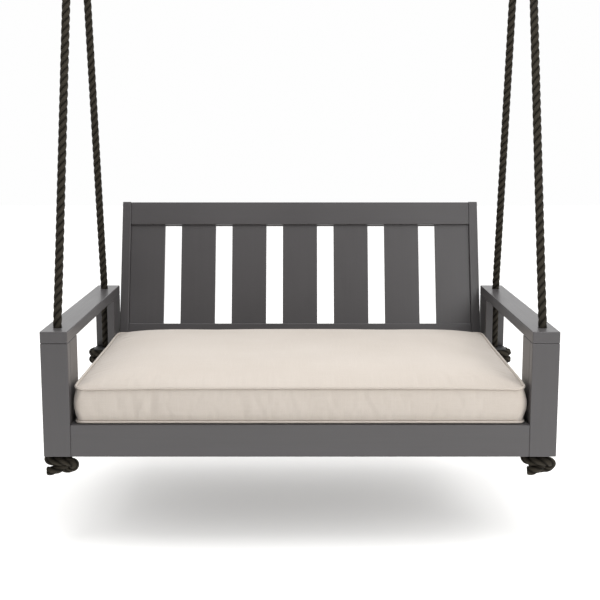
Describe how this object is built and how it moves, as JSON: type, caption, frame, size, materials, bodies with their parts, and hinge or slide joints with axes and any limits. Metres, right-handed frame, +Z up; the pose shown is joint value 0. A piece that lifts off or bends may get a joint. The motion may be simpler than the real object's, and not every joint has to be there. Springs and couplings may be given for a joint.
{
  "type": "hanging swing bed",
  "caption": "Hanging timber swing bed with flat arms, a leaning slatted back and a seat cushion, hung by rope pairs from two pivoting ceiling hangers.",
  "frame": {"origin": "on the ceiling plane, at the centre of the rectangle of the four ceiling bolt holes", "axes": "+Z up into the ceiling, +X to the right as seen from the front, -Y out of the front of the seat"},
  "size_m": [1.5754, 1.1181, 2.4323],
  "materials": {
    "painted_wood": "satin grey paint",
    "bare_wood": "bare",
    "rope": "three-strand twisted",
    "twine": "waxed",
    "black_steel": "satin black powder coat",
    "zinc_steel": "zinc plated",
    "nylon": "natural",
    "cushion_cloth": "woven, piped edges"
  },
  "bodies": {
    "ceiling_hangers": {"left_ceiling_plate": "black_steel", "right_ceiling_plate": "black_steel", "left_pivot_bolt": "zinc_steel", "right_pivot_bolt": "zinc_steel", "pivot_nuts": "zinc_steel"},
    "swing": {"left_pivot_bushing": "nylon", "right_pivot_bushing": "nylon", "left_hanger_link": "black_steel", "right_hanger_link": "black_steel", "left_shackle_bow": "black_steel", "right_shackle_bow": "black_steel", "left_shackle_pin": "zinc_steel", "right_shackle_pin": "zinc_steel", "left_thimble": "zinc_steel", "right_thimble": "zinc_steel", "left_rope_bight": "rope", "right_rope_bight": "rope", "left_seizing": "twine", "right_seizing": "twine", "left_front_rope": "rope", "right_front_rope": "rope", "left_rear_rope": "rope", "right_rear_rope": "rope", "left_front_knot": "rope", "right_front_knot": "rope", "left_rear_knot": "rope", "right_rear_knot": "rope", "left_arm": "painted_wood", "right_arm": "painted_wood", "left_front_leg_face": "painted_wood", "right_front_leg_face": "painted_wood", "left_front_leg_inner": "painted_wood", "right_front_leg_inner": "painted_wood", "left_foot_block": "painted_wood", "right_foot_block": "painted_wood", "left_rear_leg_inner": "painted_wood", "right_rear_leg_inner": "painted_wood", "left_rear_leg_back": "painted_wood", "right_rear_leg_back": "painted_wood", "left_rope_bracket": "black_steel", "right_rope_bracket": "black_steel", "front_rail": "painted_wood", "rear_rail": "painted_wood", "left_side_rail": "painted_wood", "right_side_rail": "painted_wood", "centre_beam": "painted_wood", "left_slat_cleat": "painted_wood", "right_slat_cleat": "painted_wood", "seat_slats": "painted_wood", "left_back_stile": "painted_wood", "right_back_stile": "painted_wood", "back_top_rail": "painted_wood", "back_bottom_rail": "painted_wood", "back_slats": "painted_wood", "leg_bolts": "zinc_steel", "back_lag_screws": "zinc_steel", "arm_dowels": "bare_wood", "wood_screws": "zinc_steel"},
    "seat_cushion": {"seat_cushion": "cushion_cloth"}
  },
  "joints": [
    {"name": "swing_pivot", "type": "hinge", "parent": "ceiling_hangers", "child": "swing", "pos_m": [0, 0, -0.04], "axis": [1, 0, 0], "range_deg": [-22, 22]},
    {"name": "cushion_lift", "type": "slide", "parent": "swing", "child": "seat_cushion", "axis": [0, 0, 1], "range_m": [0, 0.3]}
  ]
}
